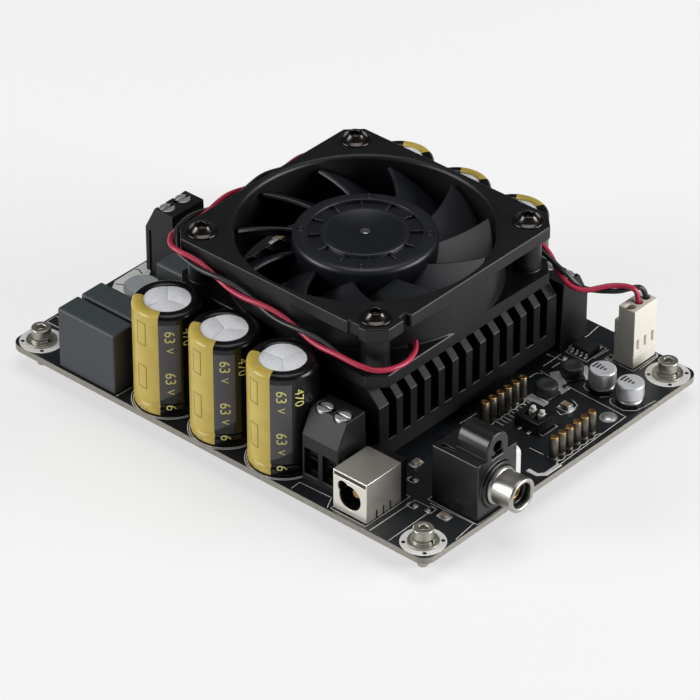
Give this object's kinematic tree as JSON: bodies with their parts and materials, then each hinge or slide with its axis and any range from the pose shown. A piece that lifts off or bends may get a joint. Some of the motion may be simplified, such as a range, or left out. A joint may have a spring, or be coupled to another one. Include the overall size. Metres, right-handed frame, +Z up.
{
  "type": "audio amplifier board",
  "caption": "Flat audio amplifier board with a fan-cooled finned heat sink, capacitor rows, screw terminals, a power jack and a phono jack along its edges.",
  "frame": {"origin": "middle of the four corner screws, on the plane of their free lower ends", "axes": "+X along the long edge towards the phono jack, -Y towards the edge with the power jack, +Z up out of the component side"},
  "size_m": [0.1283, 0.092, 0.0439],
  "materials": {
    "solder_mask": "near-black solder mask, satin",
    "solder": "solder and tinned copper, bright",
    "zinc_steel": "zinc-plated steel, satin",
    "epoxy": "moulded epoxy, matt",
    "thermal_pad": "soft thermal pad, matt",
    "black_anodised": "black anodised, satin",
    "fan_plastic": "charcoal moulded plastic, satin",
    "black_nickel": "black nickel plated steel, bright",
    "magnet": "bonded ferrite, matt",
    "bright_steel": "ground steel, bright",
    "bronze": "sintered bronze, satin",
    "coil": "enamelled copper on a steel stack",
    "driver_board": "green solder mask",
    "red_insulation": "raspberry red insulation, satin",
    "black_insulation": "black insulation, satin",
    "capacitor_sleeve": "black shrink sleeve with a gold panel, aluminium top",
    "film_box": "dark grey moulded box, matt",
    "ferrite": "grey coated ferrite, matt",
    "terminal_plastic": "greenish black moulded plastic, satin",
    "clamp_steel": "zinc-plated steel, bright",
    "clamp_brass": "brass clamp, satin",
    "tinned_brass": "tinned brass, bright",
    "jack_plastic": "black moulded plastic, satin",
    "nickel": "nickel plate, bright",
    "white_plastic": "white moulded plastic",
    "ivory_plastic": "ivory nylon, satin",
    "gold_pins": "gold-plated pins, bright",
    "can_aluminium": "bright can on a black base",
    "chip_ceramic": "tan ceramic with tinned ends"
  },
  "bodies": {
    "board": {"circuit_board": "solder_mask", "solder_joints": "solder", "corner_screws": "zinc_steel", "corner_washers": "zinc_steel", "corner_nuts": "zinc_steel", "amplifier_chip": "epoxy", "thermal_pad": "thermal_pad", "heatsink": "black_anodised", "heatsink_screws": "zinc_steel", "fan_frame": "fan_plastic", "fan_screws": "black_nickel", "bearing_sleeve": "bronze", "stator": "coil", "fan_driver_board": "driver_board", "fan_lead_red": "red_insulation", "fan_lead_black": "black_insulation", "capacitor_front_1": "capacitor_sleeve", "capacitor_front_2": "capacitor_sleeve", "capacitor_front_3": "capacitor_sleeve", "rear_capacitors": "capacitor_sleeve", "film_capacitors": "film_box", "drum_inductor": "ferrite", "terminal_contacts": "tinned_brass", "dc_jack_housing": "jack_plastic", "dc_jack_shield": "nickel", "dc_jack_contacts": "clamp_brass", "phono_body": "jack_plastic", "phono_barrel": "nickel", "phono_contact": "clamp_brass", "phono_side_block": "white_plastic", "fan_header": "ivory_plastic", "fan_header_pins": "gold_pins", "fan_plug": "ivory_plastic", "module_header_pins": "gold_pins", "driver_chip": "epoxy", "can_capacitors": "can_aluminium", "chokes": "ferrite", "chip_parts": "chip_ceramic", "switch_body": "jack_plastic", "power_terminal": "terminal_plastic", "left_terminal": "terminal_plastic", "rear_terminal": "terminal_plastic"},
    "rotor": {"impeller": "fan_plastic", "rotor_magnet": "magnet", "rotor_shaft": "bright_steel"},
    "power_clamp_screw_1": {"power_clamp_screw_1": "clamp_steel"},
    "power_cage_1": {"power_cage_1": "clamp_brass"},
    "left_clamp_screw_1": {"left_clamp_screw_1": "clamp_steel"},
    "left_cage_1": {"left_cage_1": "clamp_brass"},
    "rear_clamp_screw_1": {"rear_clamp_screw_1": "clamp_steel"},
    "rear_cage_1": {"rear_cage_1": "clamp_brass"},
    "power_clamp_screw_2": {"power_clamp_screw_2": "clamp_steel"},
    "power_cage_2": {"power_cage_2": "clamp_brass"},
    "left_clamp_screw_2": {"left_clamp_screw_2": "clamp_steel"},
    "left_cage_2": {"left_cage_2": "clamp_brass"},
    "rear_clamp_screw_2": {"rear_clamp_screw_2": "clamp_steel"},
    "rear_cage_2": {"rear_cage_2": "clamp_brass"},
    "switch_slider_1": {"switch_slider_1": "white_plastic"},
    "switch_slider_2": {"switch_slider_2": "white_plastic"}
  },
  "joints": [
    {"name": "fan_spin", "type": "hinge", "parent": "board", "child": "rotor", "pos_m": [0.0035, 0, 0.027], "axis": [0, 0, 1], "continuous": true},
    {"name": "power_clamp_screw_1_turn", "type": "hinge", "parent": "board", "child": "power_clamp_screw_1", "pos_m": [0.02449, -0.03645, 0.018], "axis": [0, 0, -1], "range_deg": [0, 1800]},
    {"name": "power_cage_1_rise", "type": "slide", "parent": "board", "child": "power_cage_1", "axis": [0, 0, 1], "range_m": [0, 0.0025]},
    {"name": "left_clamp_screw_1_turn", "type": "hinge", "parent": "board", "child": "left_clamp_screw_1", "pos_m": [-0.05395, 0.00294, 0.018], "axis": [0, 0, -1], "range_deg": [0, 1800]},
    {"name": "left_cage_1_rise", "type": "slide", "parent": "board", "child": "left_cage_1", "axis": [0, 0, 1], "range_m": [0, 0.0025]},
    {"name": "rear_clamp_screw_1_turn", "type": "hinge", "parent": "board", "child": "rear_clamp_screw_1", "pos_m": [0.03037, 0.03645, 0.018], "axis": [0, 0, -1], "range_deg": [0, 1800]},
    {"name": "rear_cage_1_rise", "type": "slide", "parent": "board", "child": "rear_cage_1", "axis": [0, 0, 1], "range_m": [0, 0.0025]},
    {"name": "power_clamp_screw_2_turn", "type": "hinge", "parent": "board", "child": "power_clamp_screw_2", "pos_m": [0.02957, -0.03645, 0.018], "axis": [0, 0, -1], "range_deg": [0, 1800]},
    {"name": "power_cage_2_rise", "type": "slide", "parent": "board", "child": "power_cage_2", "axis": [0, 0, 1], "range_m": [0, 0.0025]},
    {"name": "left_clamp_screw_2_turn", "type": "hinge", "parent": "board", "child": "left_clamp_screw_2", "pos_m": [-0.05395, -0.00214, 0.018], "axis": [0, 0, -1], "range_deg": [0, 1800]},
    {"name": "left_cage_2_rise", "type": "slide", "parent": "board", "child": "left_cage_2", "axis": [0, 0, 1], "range_m": [0, 0.0025]},
    {"name": "rear_clamp_screw_2_turn", "type": "hinge", "parent": "board", "child": "rear_clamp_screw_2", "pos_m": [0.02529, 0.03645, 0.018], "axis": [0, 0, -1], "range_deg": [0, 1800]},
    {"name": "rear_cage_2_rise", "type": "slide", "parent": "board", "child": "rear_cage_2", "axis": [0, 0, 1], "range_m": [0, 0.0025]},
    {"name": "switch_slider_1_slide", "type": "slide", "parent": "board", "child": "switch_slider_1", "axis": [0, -1, 0], "range_m": [0, 0.0016]},
    {"name": "switch_slider_2_slide", "type": "slide", "parent": "board", "child": "switch_slider_2", "axis": [0, -1, 0], "range_m": [0, 0.0016]}
  ],
  "couplings": [
    {"joint": "power_clamp_screw_1_turn", "follows": "power_cage_1_rise", "rad_per_m": 12566},
    {"joint": "left_clamp_screw_1_turn", "follows": "left_cage_1_rise", "rad_per_m": 12566},
    {"joint": "rear_clamp_screw_1_turn", "follows": "rear_cage_1_rise", "rad_per_m": 12566},
    {"joint": "power_clamp_screw_2_turn", "follows": "power_cage_2_rise", "rad_per_m": 12566},
    {"joint": "left_clamp_screw_2_turn", "follows": "left_cage_2_rise", "rad_per_m": 12566},
    {"joint": "rear_clamp_screw_2_turn", "follows": "rear_cage_2_rise", "rad_per_m": 12566}
  ]
}
